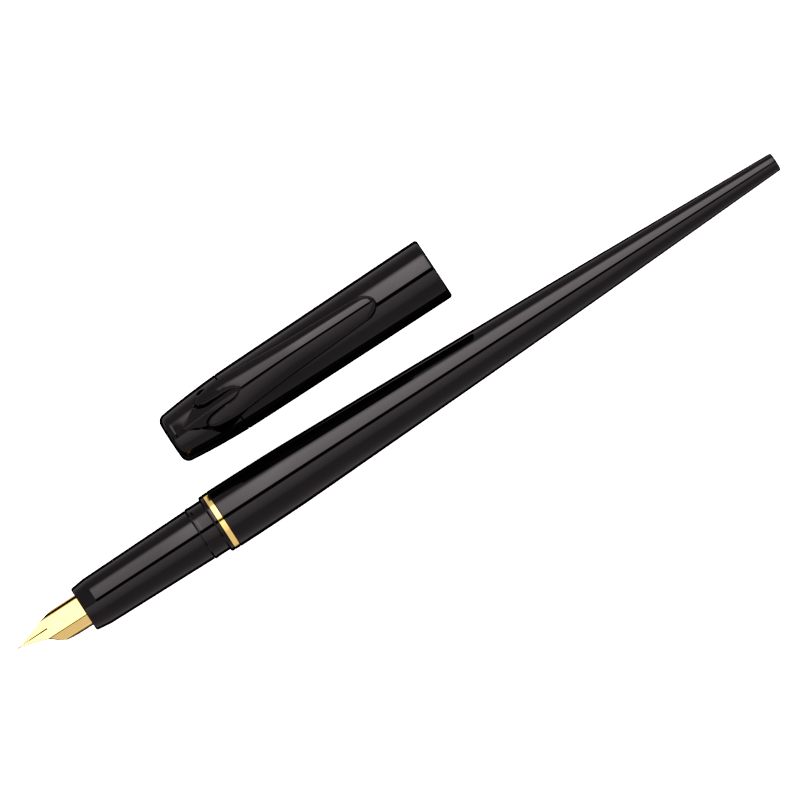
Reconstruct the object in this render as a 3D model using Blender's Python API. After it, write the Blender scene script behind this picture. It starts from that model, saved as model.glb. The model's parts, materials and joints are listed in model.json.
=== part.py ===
"""Desk fountain pen with a long tapering tail, and its cap lying beside it.

The pen and the cap lie on a table at z = 0. +X runs from the nib's tip to the tail,
+Y from the pen to the cap and +Z up. Every outline below is in millimetres, as
(distance along the axis, radius), with an optional third number: that corner's rounding.
Blender's units are metres, so each point is multiplied by MM as it is made.
"""

import math

import bmesh
import bpy
from mathutils import Euler, Matrix, Vector

MM = 0.001
OUTER_SIDES = 32
INNER_SIDES = 24
ROD_SIDES = 12
CORNER_STEPS = 2
WELD = 1e-6
FIT = 0.1

# How the two pieces lie: the pen on the long cone of its barrel, the cap on its tube.
PEN_TILT = math.radians(1.97)
CAP_TILT = math.radians(-0.4)
CAP_YAW = math.radians(0.4526)
CAP_ROLL = math.radians(-7.0)
CAP_FROM_NIB = (53.37, 20.75)
NIB_ROLL = math.radians(-21.6)

# Pen, measured from the nib's tip.
PEN_LENGTH = 200.0
SECTION_START = 16.9
SECTION_END = 47.4
LIP_BACK = 52.45
BARREL_START = 53.9
BARREL_RADIUS = 7.16
BARREL_SKIN = (
    (60.3, 7.12),
    (69.2, 7.02),
    (73.6, 6.93),
    (78.0, 6.77),
    (100.3, 6.03),
    (122.5, 5.27),
    (144.7, 4.48),
    (171.4, 3.38),
    (PEN_LENGTH - 0.5, 2.22),
)

# Nib: a flat top plane, a folded facet and a rounded skirt on each side.
SHEET = 0.35
NIB_TOP = 2.5
NIB_TOP_HALF = 2.45
NIB_FACET_FOOT = (3.63, 0.66)
NIB_SKIRT_RADIUS = 3.95
NIB_SKIRT_END = math.radians(-20.0)
NIB_TAIL = 27.0
NIB_DROOP = 0.3
NIB_DROOP_LENGTH = 8.0
SLIT_WIDTH = 0.1

# Screw threads: the depth of a ridge, and the play between the two halves.
THREAD_PLAY = 0.2
THREAD_ROWS = 5
SECTION_THREAD = (54.5, 60.5)
SECTION_PITCH = 1.5
SECTION_ROOT = 5.3
SECTION_RIDGE = 0.5
ROD_THREAD = (65.5, 90.0)
ROD_PITCH = 2.5
ROD_ROOT = 1.25
ROD_RIDGE = 0.4
ROD_FLAT = 1.05

# Converter, which fills with the pen and hides in the barrel.
CONVERTER_RADIUS = 3.8
CONVERTER_BORE = 3.05
PISTON_FRONT = 53.4

# Cap, measured from its closed end.
CAP_LENGTH = 69.93
CAP_SEAM = 16.1
CAP_RADIUS = 7.5
CROWN_SKIN = ((7.8, 6.64), (12.3, 6.93))
TUBE_SKIN = ((CAP_SEAM, 7.12), (23.4, 7.2), (38.9, 7.31), (56.7, 7.44), (68.7, CAP_RADIUS))
LINER_BORE = 4.6

# Clip, as stations along the cap: the distance along the axis, half the width of the foot,
# half the width of the top edge, the height of that edge and of the crest above the axis.
CLIP_GAP = 0.15
CLIP_UNDERSIDE = 9.1
CLIP_NECK = (14.0, 19.0)
CLIP_STATIONS = (
    (3.8, 0.25, 0.12, 6.4, 6.55),
    (5.8, 1.55, 0.85, 7.0, 7.6),
    (8.4, 2.6, 1.9, 7.8, 9.1),
    (9.2, 3.9, 2.7, 8.2, 9.6),
    (10.6, 5.0, 3.8, 9.0, 10.8),
    (13.0, 5.2, 4.4, 9.9, 12.1),
    (16.3, 4.9, 4.5, 10.3, 12.6),
    (23.4, 4.2, 4.2, 10.4, 12.7),
    (32.0, 3.7, 3.7, 10.4, 12.5),
    (45.6, 3.1, 3.1, 10.4, 12.1),
    (51.4, 2.8, 2.8, 10.4, 11.8),
    (53.6, 1.9, 1.9, 10.3, 11.2),
    (54.7, 0.9, 0.9, 10.0, 10.3),
)
CLIP_TOP_STEPS = 8
CLIP_FOOT_STEPS = 6


def clear_scene():
    for item in list(bpy.data.objects):
        bpy.data.objects.remove(item, do_unlink=True)


def make_material(name, colour, roughness, metallic=0.0, alpha=1.0):
    material = bpy.data.materials.new(name)
    material.use_nodes = True
    shader = material.node_tree.nodes["Principled BSDF"]
    shader.inputs["Base Color"].default_value = (*colour, 1.0)
    shader.inputs["Roughness"].default_value = roughness
    shader.inputs["Metallic"].default_value = metallic
    shader.inputs["Alpha"].default_value = alpha
    return material


def make_root(name, location, rotation):
    root = bpy.data.objects.new(name, None)
    bpy.context.scene.collection.objects.link(root)
    root.location = [value * MM for value in location]
    root.rotation_euler = rotation
    return root


def make_object(name, bm, material, parent, origin=(0, 0, 0)):
    """One named part. Its own origin is the given point of the parent's frame."""
    bmesh.ops.recalc_face_normals(bm, faces=bm.faces)
    bmesh.ops.translate(bm, verts=bm.verts, vec=-Vector(origin) * MM)
    mesh = bpy.data.meshes.new(name)
    bm.to_mesh(mesh)
    bm.free()
    mesh.shade_smooth()
    mesh.set_sharp_from_angle(angle=math.radians(30))
    if material:
        mesh.materials.append(material)
    part = bpy.data.objects.new(name, mesh)
    bpy.context.scene.collection.objects.link(part)
    part.parent = parent
    part.location = Vector(origin) * MM
    return part


def rounded(points):
    """The outline with each corner that has a third number turned into an arc of that radius."""
    result = []
    for index, point in enumerate(points):
        if len(point) < 3:
            result.append(tuple(point))
            continue
        corner = Vector(point[:2])
        before = (Vector(points[index - 1][:2]) - corner).normalized()
        after = (Vector(points[(index + 1) % len(points)][:2]) - corner).normalized()
        half = before.angle(after) / 2
        reach = point[2] / math.tan(half)
        centre = corner + (before + after).normalized() * point[2] / math.sin(half)
        first = (corner + before * reach - centre).normalized()
        last = (corner + after * reach - centre).normalized()
        for step in range(CORNER_STEPS + 1):
            result.append(tuple(centre + first.slerp(last, step / CORNER_STEPS) * point[2]))
    return result


def rows(start, end, radius, pitch):
    """Outline points close enough together to carry a thread of this pitch."""
    count = round((end - start) / pitch * THREAD_ROWS)
    return [(start + (end - start) * row / count, radius) for row in range(count + 1)]


def turn(outline, sides):
    """The outline, closed by itself or by the axis, turned once round the X axis."""
    bm = bmesh.new()
    corners = [bm.verts.new((x * MM, r * MM, 0.0)) for x, r in rounded(outline)]
    on_axis = outline[0][1] == 0 and outline[-1][1] == 0
    for index in range(len(corners) - on_axis):
        bm.edges.new((corners[index], corners[(index + 1) % len(corners)]))
    bmesh.ops.spin(
        bm,
        geom=bm.verts[:] + bm.edges[:],
        cent=(0, 0, 0),
        axis=(1, 0, 0),
        angle=math.tau,
        steps=sides,
        use_merge=True,
    )
    bmesh.ops.remove_doubles(bm, verts=bm.verts, dist=WELD)
    return bm


def cut_thread(bm, span, radius, ridge, pitch, phase=0.0):
    """Raises a right-hand ridge, or lowers a groove, on the turned rows at this radius.

    The ridge fades out over half a turn at each end.
    """
    start, end = span
    for vert in bm.verts:
        x, y, z = (value / MM for value in vert.co)
        if not (start <= x <= end and abs(math.hypot(y, z) - radius) < WELD / MM):
            continue
        angle = math.atan2(z, y)
        wave = 0.5 + 0.5 * math.cos(math.tau * x / pitch - angle + phase)
        fade = min(1.0, (x - start) / (pitch / 2), (end - x) / (pitch / 2))
        new_radius = radius + ridge * wave * fade
        vert.co.y = new_radius * math.cos(angle) * MM
        vert.co.z = new_radius * math.sin(angle) * MM


def loft(sections):
    """A closed solid through rings of points that all have the same number of points."""
    bm = bmesh.new()
    rings = [[bm.verts.new(Vector(point) * MM) for point in section] for section in sections]
    count = len(rings[0])
    for first, second in zip(rings, rings[1:]):
        for index in range(count):
            after = (index + 1) % count
            bm.faces.new((first[index], first[after], second[after], second[index]))
    bm.faces.new(rings[0])
    bm.faces.new(rings[-1])
    return bm


def prism(outline, low, high):
    """The plan outline, in X and Y, as an upright block between two heights."""
    return loft([[(x, y, z) for x, y in outline] for z in (low, high)])


def arc(radius, start, end, steps):
    """Points round the X axis, as (Y, Z), from one angle to another."""
    angles = [start + (end - start) * step / steps for step in range(steps + 1)]
    return [(radius * math.cos(angle), radius * math.sin(angle)) for angle in angles]


def cut(part, cutter, operation="DIFFERENCE"):
    cutter.hide_render = True
    cutter.display_type = "WIRE"
    modifier = part.modifiers.new(cutter.name, "BOOLEAN")
    modifier.object = cutter
    modifier.operation = operation
    modifier.solver = "EXACT"


# Pen ---------------------------------------------------------------------------------


def nib_half_section(inset):
    """One side of the nib's cross-section, from the crease of the top plane to the skirt's edge."""
    crease = (NIB_TOP_HALF - inset * 0.55, NIB_TOP - inset)
    foot = (NIB_FACET_FOOT[0] - inset, NIB_FACET_FOOT[1] - inset * 0.2)
    radius = NIB_SKIRT_RADIUS - inset
    return [crease, foot] + arc(radius, math.radians(6), NIB_SKIRT_END, 3)


def nib_section(x):
    """The whole cross-section of the folded sheet, drooping towards the tip."""
    outer = nib_half_section(0.0)
    inner = nib_half_section(SHEET)
    ring = outer[::-1] + [(-y, z) for y, z in outer]
    ring += [(-y, z) for y, z in inner[::-1]] + inner
    droop = NIB_DROOP * (max(0.0, NIB_DROOP_LENGTH - x) / NIB_DROOP_LENGTH) ** 1.5
    return [(x, y, z - droop) for y, z in ring]


def make_nib(parent, gold):
    stations = (0.0, 2.0, 4.0, 6.0, NIB_DROOP_LENGTH, NIB_TAIL)
    nib = make_object("nib", loft([nib_section(x) for x in stations]), gold, parent)
    side = [(0.95, 0.16), (7.6, NIB_TOP_HALF + 0.02), (9.4, 3.65), (10.9, 4.2), (NIB_TAIL + 1, 4.2)]
    plan = side + [(x, -y) for x, y in side[::-1]]
    cut(nib, make_object("nib_plan", prism(plan, -6, 6), None, parent), "INTERSECT")
    half = SLIT_WIDTH / 2
    slit = [(1.4, half), (7.8, half), (7.8, -half), (1.4, -half)]
    cut(nib, make_object("nib_slit", prism(slit, 0, 4), None, parent))
    return nib


def make_tipping(parent, iridium):
    outline = [(0, 0)] + [
        (0.44 - 0.44 * math.cos(angle), 0.3 * math.sin(angle))
        for angle in (math.pi * step / 6 for step in range(1, 6))
    ] + [(0.88, 0)]
    bm = turn(outline, ROD_SIDES)
    bmesh.ops.translate(bm, verts=bm.verts, vec=Vector((0, 0, NIB_TOP - NIB_DROOP - 0.25)) * MM)
    return make_object("nib_tipping", bm, iridium, parent)


def feed_section(x, radius, size):
    """The feed under the nib: a flat top with the ink channel, sloping shoulders and a round belly."""
    top = NIB_TOP - SHEET - FIT - 0.1
    side = [(0.2, top - 0.6), (0.2, top), (2.1, top), (3.0, 0.5)]
    belly = arc(radius, math.radians(-6), math.radians(-174), 10)
    ring = side + belly + [(-y, z) for y, z in side[::-1]]
    return [(x, y * size, top + (z - top) * size) for y, z in ring]


def make_feed(parent, plastic):
    """The front tapers to the channel, the middle is cut into fins and the tail is plain."""
    full, slot = 3.45, 2.6
    sections = [feed_section(3.6, full, 0.16), feed_section(6.0, full, 0.5), feed_section(9.6, full, 1.0)]
    for fin in range(7):
        start = 10.6 + fin * 0.8
        for x, radius in ((start, full), (start, slot), (start + 0.35, slot), (start + 0.35, full)):
            sections.append(feed_section(x, radius, 1.0))
    sections.append(feed_section(37.4, full, 1.0))
    return make_object("feed", loft(sections), plastic, parent)


def make_nipple(parent, plastic):
    """The plug behind the feed, whose spout pierces into the converter."""
    outline = [
        (37.7, 0.8), (37.7, 4.0), (39.6, 4.0), (39.6, 1.75), (48.6, 1.75, 0.4), (48.6, 0.8),
    ]
    return make_object("converter_nipple", turn(outline, INNER_SIDES), plastic, parent)


def make_grip_section(parent, plastic):
    outline = [
        (SECTION_START, 4.1),
        (SECTION_START, 5.5, 0.45),
        (20.7, 5.87),
        (SECTION_END, 6.3, 0.15),
        (SECTION_END, 5.0),
        (40.2, 5.0),
        (40.2, 4.1),
    ]
    return make_object("grip_section", turn(outline, OUTER_SIDES), plastic, parent)


def make_coupling(parent, plastic):
    """The rear of the grip: snap bead, collar that the cap covers, lip and threaded tenon."""
    outline = [(40.5, 4.3), (40.5, 4.9), (47.55, 4.9), (47.55, 6.3), (47.85, 6.49), (48.3, 6.49)]
    outline += [(48.65, 6.42), (51.45, 6.42), (51.45, 7.07, 0.35), (LIP_BACK, 7.07, 0.1)]
    outline += [(LIP_BACK, 5.7), (54.2, 5.7)]
    outline += rows(*SECTION_THREAD, SECTION_ROOT, SECTION_PITCH)
    outline += [(62.0, SECTION_ROOT, 0.3), (62.0, 4.3)]
    bm = turn(outline, INNER_SIDES)
    cut_thread(bm, SECTION_THREAD, SECTION_ROOT, SECTION_RIDGE, SECTION_PITCH)
    return make_object("section_coupling", bm, plastic, parent)


def make_trim_ring(parent, gold):
    outline = [(52.55, 5.85), (52.55, 7.08, 0.08), (53.8, 7.08, 0.08), (53.8, 5.85)]
    return make_object("trim_ring", turn(outline, OUTER_SIDES), gold, parent)


def make_barrel(parent, plastic):
    """Outer skin from the ring to the tail, then the moulding core's bore back to the mouth."""
    root = SECTION_ROOT + SECTION_RIDGE + THREAD_PLAY
    outline = [(BARREL_START, BARREL_RADIUS, 0.1), *BARREL_SKIN, (PEN_LENGTH, 2.1, 0.2), (PEN_LENGTH, 0)]
    outline += [(187.0, 0), (187.0, 1.1), (124.0, 3.7), (121.0, 4.3), (76.0, 5.4), (62.6, 5.5)]
    outline += [(61.0, root)]
    outline += rows(*SECTION_THREAD, root, SECTION_PITCH)[::-1]
    outline += [(BARREL_START, root + 0.05)]
    bm = turn_blind(outline, OUTER_SIDES)
    cut_thread(bm, SECTION_THREAD, root, -SECTION_RIDGE, SECTION_PITCH, math.pi)
    return make_object("barrel", bm, plastic, parent)


def turn_blind(outline, sides):
    """As turn, for a blind bore: the outline leaves the axis on one end face and meets it again."""
    start = next(index for index, point in enumerate(outline) if point[1] == 0) + 1
    return turn(outline[start:] + outline[:start], sides)


# Converter ---------------------------------------------------------------------------


def make_converter_socket(parent, plastic):
    outline = [
        (42.5, 1.85, 0.2), (42.5, CONVERTER_RADIUS, 0.4), (50.0, CONVERTER_RADIUS), (50.0, 2.95),
        (53.0, 2.95), (53.0, 0.9), (49.0, 0.9), (49.0, 1.85),
    ]
    return make_object("converter_socket", turn(outline, INNER_SIDES), plastic, parent)


def make_converter_tube(parent, clear):
    outline = [
        (50.1, CONVERTER_BORE), (50.1, CONVERTER_RADIUS, 0.2), (82.0, CONVERTER_RADIUS), (82.0, CONVERTER_BORE),
    ]
    return make_object("converter_tube", turn(outline, INNER_SIDES), clear, parent)


def make_converter_band(parent, steel):
    """Metal sleeve over the tube's end and the knob's stem, with a groove for the snap ring."""
    outline = [
        (77.6, 3.9), (77.6, 4.25, 0.15), (92.0, 4.25, 0.15), (92.0, 3.9),
        (91.0, 3.9), (91.0, 4.05), (89.7, 4.05), (89.7, 3.9),
    ]
    return make_object("converter_band", turn(outline, INNER_SIDES), steel, parent)


def make_rod_guide(parent, plastic):
    """Disc that closes the tube; its flat-sided hole keeps the rod from turning."""
    flat = ROD_FLAT + FIT * 1.5
    outline = [(82.2, 1.85), (82.2, 3.8), (85.3, 3.8), (85.3, 1.85)]
    bm = turn(outline, INNER_SIDES)
    for vert in bm.verts:
        if math.hypot(vert.co.y, vert.co.z) < 2 * MM:
            vert.co.z = max(-flat * MM, min(flat * MM, vert.co.z))
    return make_object("rod_guide", bm, plastic, parent)


def make_knob_retainer(parent, steel):
    """Split snap ring that sits in the band's groove and in the knob's."""
    gap = math.radians(24)
    steps = 20
    sections = []
    for step in range(steps + 1):
        angle = gap / 2 + (math.tau - gap) * step / steps
        corners = ((89.85, 3.3), (89.85, 3.95), (90.85, 3.95), (90.85, 3.3))
        sections.append([(x, r * math.cos(angle), r * math.sin(angle)) for x, r in corners])
    return make_object("knob_retainer", loft(sections), steel, parent)


def make_piston_seal(parent, rubber):
    """Two lips and a waist, with a pocket behind that takes the rod's mushroom head."""
    lip = CONVERTER_BORE - 0.05
    outline = [
        (PISTON_FRONT, 0), (PISTON_FRONT, 2.4), (PISTON_FRONT + 0.4, lip), (PISTON_FRONT + 1.0, lip),
        (PISTON_FRONT + 1.4, 2.7), (PISTON_FRONT + 2.8, 2.7), (PISTON_FRONT + 3.2, lip),
        (PISTON_FRONT + 3.9, lip), (PISTON_FRONT + 3.9, 1.35), (PISTON_FRONT + 2.3, 1.35),
        (PISTON_FRONT + 2.3, 2.05), (PISTON_FRONT + 1.2, 2.05), (PISTON_FRONT + 1.2, 0),
    ]
    return make_object("piston_seal", turn(outline, INNER_SIDES), rubber, parent)


def make_piston_rod(parent, plastic):
    """Threaded rod with two flats, so that the turning knob draws it back without turning it."""
    head = PISTON_FRONT + 1.3
    outline = [(head, 0), (head, 1.9), (head + 0.9, 1.9), (head + 0.9, ROD_ROOT)]
    outline += rows(*ROD_THREAD, ROD_ROOT, ROD_PITCH)
    outline += [(ROD_THREAD[1] + 0.4, 0.9), (ROD_THREAD[1] + 0.4, 0)]
    bm = turn(outline, ROD_SIDES)
    cut_thread(bm, ROD_THREAD, ROD_ROOT, ROD_RIDGE, ROD_PITCH)
    for vert in bm.verts:
        if vert.co.x > (head + 1) * MM:
            vert.co.z = max(-ROD_FLAT * MM, min(ROD_FLAT * MM, vert.co.z))
    return make_object("piston_rod", bm, plastic, parent)


def make_knob(parent, plastic):
    """Stem held in the band, threaded nut in its mouth and a long fluted grip."""
    nut = (85.8, 89.55)
    root = ROD_ROOT + ROD_RIDGE + THREAD_PLAY - 0.02
    grip = 3.95
    outline = [(85.6, 3.75, 0.1), (89.75, 3.75), (89.75, 3.15), (90.95, 3.15), (90.95, 3.75)]
    outline += [(92.3, 3.75), (92.3, grip, 0.1), (93.4, grip), (93.9, grip), (110.6, grip)]
    outline += [(112.5, grip, 1.2), (112.5, 0), (111.2, 0), (111.2, 2.0), (90.2, 2.0)]
    outline += rows(*nut, root, ROD_PITCH)[::-1]
    outline += [(85.6, 1.95)]
    bm = turn_blind(outline, INNER_SIDES)
    cut_thread(bm, nut, root, -ROD_RIDGE, ROD_PITCH, math.pi)
    for vert in bm.verts:
        x, y, z = (value / MM for value in vert.co)
        column = round(math.atan2(z, y) / math.tau * INNER_SIDES)
        if 93.7 < x < 111.0 and math.hypot(y, z) > grip - FIT and column % 2:
            vert.co.y *= 0.94
            vert.co.z *= 0.94
    return make_object("converter_knob", bm, plastic, parent)


# Cap ---------------------------------------------------------------------------------


def make_cap_crown(parent, plastic):
    """Closed end of the cap, with the spigot that plugs into the tube."""
    outline = [(0, 0), (0, 5.95, 1.9), *CROWN_SKIN, (CAP_SEAM - 0.06, 7.12, 0.08), (CAP_SEAM - 0.06, 6.2)]
    outline += [(22.0, 6.2, 0.2), (22.0, 5.35), (7.2, 5.35, 1.0), (6.2, 0)]
    return make_object("cap_crown", turn(outline, OUTER_SIDES), plastic, parent)


def make_cap_tube(parent, plastic):
    """Sleeve with a turned-in ridge near the mouth that clicks over the bead of the grip."""
    outline = [(CAP_SEAM + 0.06, 6.3), (CAP_SEAM + 0.06, 7.12, 0.08), *TUBE_SKIN[1:]]
    outline += [(CAP_LENGTH, CAP_RADIUS, 0.55), (CAP_LENGTH, 6.72), (65.7, 6.7), (65.3, 6.56)]
    outline += [(64.7, 6.56), (64.3, 6.7), (50.0, 6.7), (40.0, 6.3)]
    return make_object("cap_tube", turn(outline, OUTER_SIDES), plastic, parent)


def make_inner_cap(parent, plastic):
    """Liner that seals round the grip's nose and keeps the nib from drying."""
    outline = [(7.9, 0), (7.9, 5.25, 0.5), (22.3, 5.25), (22.3, 6.2), (23.6, 6.2), (23.6, 5.25)]
    outline += [(31.5, 5.25), (33.4, 5.75), (35.1, 5.75, 0.3), (35.1, LINER_BORE), (9.2, LINER_BORE), (8.9, 0)]
    return make_object("inner_cap", turn(outline, INNER_SIDES), plastic, parent)


def skin_radius(x):
    """Radius of the cap's outer skin at a distance from its closed end."""
    stations = ((0.0, 4.1), (1.2, 5.5), (3.4, 6.2), *CROWN_SKIN, *TUBE_SKIN)
    for (x0, r0), (x1, r1) in zip(stations, stations[1:]):
        if x <= x1:
            return r0 + (r1 - r0) * (x - x0) / (x1 - x0)
    return CAP_RADIUS


def clip_section(x, foot, edge, edge_height, crest):
    """A domed top between the two edges, and a foot that follows the cap or stands clear of it."""
    rise = crest - edge_height
    lean = max(0.0, min(1.0, (x - CLIP_NECK[0]) / (CLIP_NECK[1] - CLIP_NECK[0])))
    ring = []
    for step in range(CLIP_TOP_STEPS + 1):
        across = -1 + 2 * step / CLIP_TOP_STEPS
        ring.append((x, edge * across, edge_height + rise * (1 - across * across)))
    for step in range(CLIP_FOOT_STEPS + 1):
        across = 1 - 2 * step / CLIP_FOOT_STEPS
        y = foot * across
        on_skin = math.sqrt((skin_radius(x) + CLIP_GAP) ** 2 - y * y)
        ring.append((x, y, on_skin + (CLIP_UNDERSIDE - on_skin) * lean))
    return ring


def make_clip(parent, plastic):
    """The clip's origin is on its hinge line, where its point meets the crown."""
    bm = loft([clip_section(*station) for station in CLIP_STATIONS])
    return make_object("pocket_clip", bm, plastic, parent, (CLIP_STATIONS[0][0], 0, 6.4))


# Assembly ----------------------------------------------------------------------------


def resting_height(stations, tilt):
    """How high the axis has to be at its start for the tilted profile to touch the table."""
    return max(x * math.sin(tilt) + r * math.cos(tilt) for x, r in stations)


def make_frames():
    """The two roots, set so that the middle of the whole footprint is the origin."""
    cap_end = CAP_FROM_NIB[1] + CAP_LENGTH * math.sin(CAP_YAW) + CAP_RADIUS
    nib_x = -PEN_LENGTH * math.cos(PEN_TILT) / 2
    pen_y = (BARREL_RADIUS - cap_end) / 2
    pen_z = resting_height(BARREL_SKIN, PEN_TILT)
    cap_z = resting_height(TUBE_SKIN, CAP_TILT)
    pen = make_root("pen_root", (nib_x, pen_y, pen_z), Euler((0, PEN_TILT, 0)))
    cap_place = (nib_x + CAP_FROM_NIB[0], pen_y + CAP_FROM_NIB[1], cap_z)
    cap = make_root("cap_root", cap_place, Euler((CAP_ROLL, CAP_TILT, CAP_YAW)))
    nib = make_root("nib_root", (0, 0, 0), Euler((NIB_ROLL, 0, 0)))
    nib.parent = pen
    return pen, cap, nib


def main():
    clear_scene()
    black = make_material("gloss_black", (0.012, 0.011, 0.012), 0.12)
    matt_black = make_material("matt_black", (0.02, 0.02, 0.02), 0.45)
    grey = make_material("moulded_grey", (0.25, 0.25, 0.26), 0.4)
    gold = make_material("gold_plate", (0.86, 0.62, 0.24), 0.18, 1.0)
    iridium = make_material("iridium", (0.45, 0.4, 0.36), 0.35, 1.0)
    steel = make_material("bright_steel", (0.7, 0.7, 0.72), 0.2, 1.0)
    clear = make_material("clear_plastic", (0.85, 0.9, 0.92), 0.05, 0.0, 0.35)
    rubber = make_material("seal_rubber", (0.03, 0.03, 0.03), 0.7)
    pen, cap, nib = make_frames()

    make_nib(nib, gold)
    make_tipping(nib, iridium)
    make_feed(nib, matt_black)
    make_nipple(pen, matt_black)
    make_grip_section(pen, black)
    make_coupling(pen, black)
    make_trim_ring(pen, gold)
    make_barrel(pen, black)

    make_converter_socket(pen, matt_black)
    make_converter_tube(pen, clear)
    make_converter_band(pen, steel)
    make_rod_guide(pen, grey)
    make_knob_retainer(pen, steel)
    make_piston_seal(pen, rubber)
    make_piston_rod(pen, grey)
    make_knob(pen, matt_black)

    make_cap_crown(cap, black)
    make_cap_tube(cap, black)
    make_inner_cap(cap, matt_black)
    make_clip(cap, black)


main()
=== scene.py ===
import json
import math

import bmesh
import bpy
import numpy as np
from mathutils import Matrix, Vector


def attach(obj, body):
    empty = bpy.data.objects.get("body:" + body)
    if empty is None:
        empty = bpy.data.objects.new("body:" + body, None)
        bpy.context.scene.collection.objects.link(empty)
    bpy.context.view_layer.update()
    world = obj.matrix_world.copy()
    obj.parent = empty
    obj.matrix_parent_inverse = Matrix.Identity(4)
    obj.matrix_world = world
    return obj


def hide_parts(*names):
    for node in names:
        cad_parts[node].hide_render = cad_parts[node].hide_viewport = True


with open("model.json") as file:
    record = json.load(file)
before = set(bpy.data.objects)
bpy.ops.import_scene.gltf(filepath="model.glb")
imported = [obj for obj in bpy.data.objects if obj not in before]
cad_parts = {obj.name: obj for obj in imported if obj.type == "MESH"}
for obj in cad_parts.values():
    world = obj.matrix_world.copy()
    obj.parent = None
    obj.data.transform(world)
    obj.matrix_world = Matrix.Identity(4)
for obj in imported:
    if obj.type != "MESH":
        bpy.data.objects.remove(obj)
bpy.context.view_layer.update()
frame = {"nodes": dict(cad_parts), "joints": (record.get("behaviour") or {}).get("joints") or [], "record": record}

MM = 0.001
SIDES = 160
CROWN_SIDES = 320
LINER_SIDES = 96
TIP_SIDES = 32
CORNER_STEPS = 8
THREAD_ROWS = 14
SHARP = math.radians(35)
CLIP_SHARP = math.radians(40)

joints = {joint["name"]: joint for joint in frame["joints"]}
mounts = {mount["name"]: mount for mount in frame["record"]["mounts"]}


# Frames ------------------------------------------------------------------------------


def axes_matrix(origin, x_axis, y_axis):
    """Local millimetres to the row frame's metres, with +X along x_axis and +Y nearest y_axis."""
    x = Vector(x_axis).normalized()
    z = x.cross(Vector(y_axis)).normalized()
    y = z.cross(x)
    turn = Matrix((x, y, z)).transposed().to_4x4()
    return Matrix.Translation(Vector(origin)) @ turn @ Matrix.Scale(MM, 4)


# The pen's frame starts at the nib's tip, and section_turn's origin is this far along it.
# The cap's frame starts at its closed end, with +Z through the clip.
TURN_STATION = 53.0
NIB_ROLL = math.radians(-21.6)
pen_axis = -Vector(joints["section_turn"]["axis"])
pen_start = Vector(joints["section_turn"]["pos_m"]) - pen_axis * TURN_STATION * MM
PEN = axes_matrix(pen_start, pen_axis, (0, 1, 0))
NIB = PEN @ Matrix.Rotation(NIB_ROLL, 4, "X")
CAP = axes_matrix(
    mounts["cap_end_face"]["pos_m"],
    -Vector(mounts["cap_end_face"]["axis"]),
    -Vector(joints["clip_flex"]["axis"]),
)


# Outlines and curves -----------------------------------------------------------------


def rounded(points, steps=CORNER_STEPS):
    """The outline with each corner that has a third number turned into an arc of that radius."""
    result = []
    for index, point in enumerate(points):
        if len(point) < 3:
            result.append(tuple(point))
            continue
        corner = Vector(point[:2])
        before = (Vector(points[index - 1][:2]) - corner).normalized()
        after = (Vector(points[(index + 1) % len(points)][:2]) - corner).normalized()
        half = before.angle(after) / 2
        reach = point[2] / math.tan(half)
        centre = corner + (before + after).normalized() * point[2] / math.sin(half)
        first = (corner + before * reach - centre).normalized()
        last = (corner + after * reach - centre).normalized()
        for step in range(steps + 1):
            result.append(tuple(centre + first.slerp(last, step / steps) * point[2]))
    return result


def flowing(points, steps=10):
    """A smooth curve through the points, with this many short pieces between two of them."""
    table = np.array(points, float)
    slopes = np.gradient(table[:, 1], table[:, 0])
    result = []
    for (x0, r0), (x1, r1), m0, m1 in zip(table, table[1:], slopes, slopes[1:]):
        for step in range(steps):
            t = step / steps
            width = x1 - x0
            radius = (
                (2 * t**3 - 3 * t**2 + 1) * r0
                + (t**3 - 2 * t**2 + t) * width * m0
                + (3 * t**2 - 2 * t**3) * r1
                + (t**3 - t**2) * width * m1
            )
            result.append((x0 + width * t, radius))
    return result + [tuple(table[-1])]


def curve(points):
    """A smooth function through the points, level outside them."""
    table = np.array(flowing(points, 12))
    return lambda x: float(np.interp(x, table[:, 0], table[:, 1]))


def smooth_step(value):
    value = min(max(value, 0.0), 1.0)
    return value * value * (3 - 2 * value)


def arc(radius, start, end, steps):
    angles = [start + (end - start) * step / steps for step in range(steps + 1)]
    return [(radius * math.cos(angle), radius * math.sin(angle)) for angle in angles]


def mirrored(half):
    """A plan outline from its +Y half, told from front to back."""
    return [*half, *((x, -y) for x, y in half[::-1])]


def blind(outline):
    """The outline started from its bore's end on the axis, so that it closes on the axis."""
    start = next(index for index, point in enumerate(outline) if point[1] == 0) + 1
    return outline[start:] + outline[:start]


def rows(start, end, radius, pitch):
    """Points along a thread, close enough together to carry its ridge."""
    count = round((end - start) / pitch * THREAD_ROWS)
    return [(start + (end - start) * row / count, radius) for row in range(count + 1)]


def thread(span, root, ridge, pitch, phase=0.0):
    """How far a right-hand ridge lifts the rows of this radius, fading over half a turn at each end."""

    def lift(x, r, angle):
        fade = min(1.0, (x - span[0]) / (pitch / 2), (span[1] - x) / (pitch / 2))
        if fade <= 0 or abs(r - root) > 1e-6:
            return r
        wave = 0.5 + 0.5 * np.cos(math.tau * x / pitch - angle + phase)
        return r + ridge * wave * fade

    return lift


# Mesh making -------------------------------------------------------------------------


def mesh_object(name, points, faces, matrix, sharp=SHARP):
    """A piece from points in a local frame's millimetres."""
    world = np.array(matrix)
    points = np.asarray(points, float) @ world[:3, :3].T + world[:3, 3]
    mesh = bpy.data.meshes.new(name)
    mesh.from_pydata(points.tolist(), [], faces)
    bm = bmesh.new()
    bm.from_mesh(mesh)
    bmesh.ops.recalc_face_normals(bm, faces=bm.faces)
    bm.to_mesh(mesh)
    bm.free()
    mesh.shade_smooth()
    mesh.set_sharp_from_angle(angle=sharp)
    piece = bpy.data.objects.new(name, mesh)
    bpy.context.scene.collection.objects.link(piece)
    return piece


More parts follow.
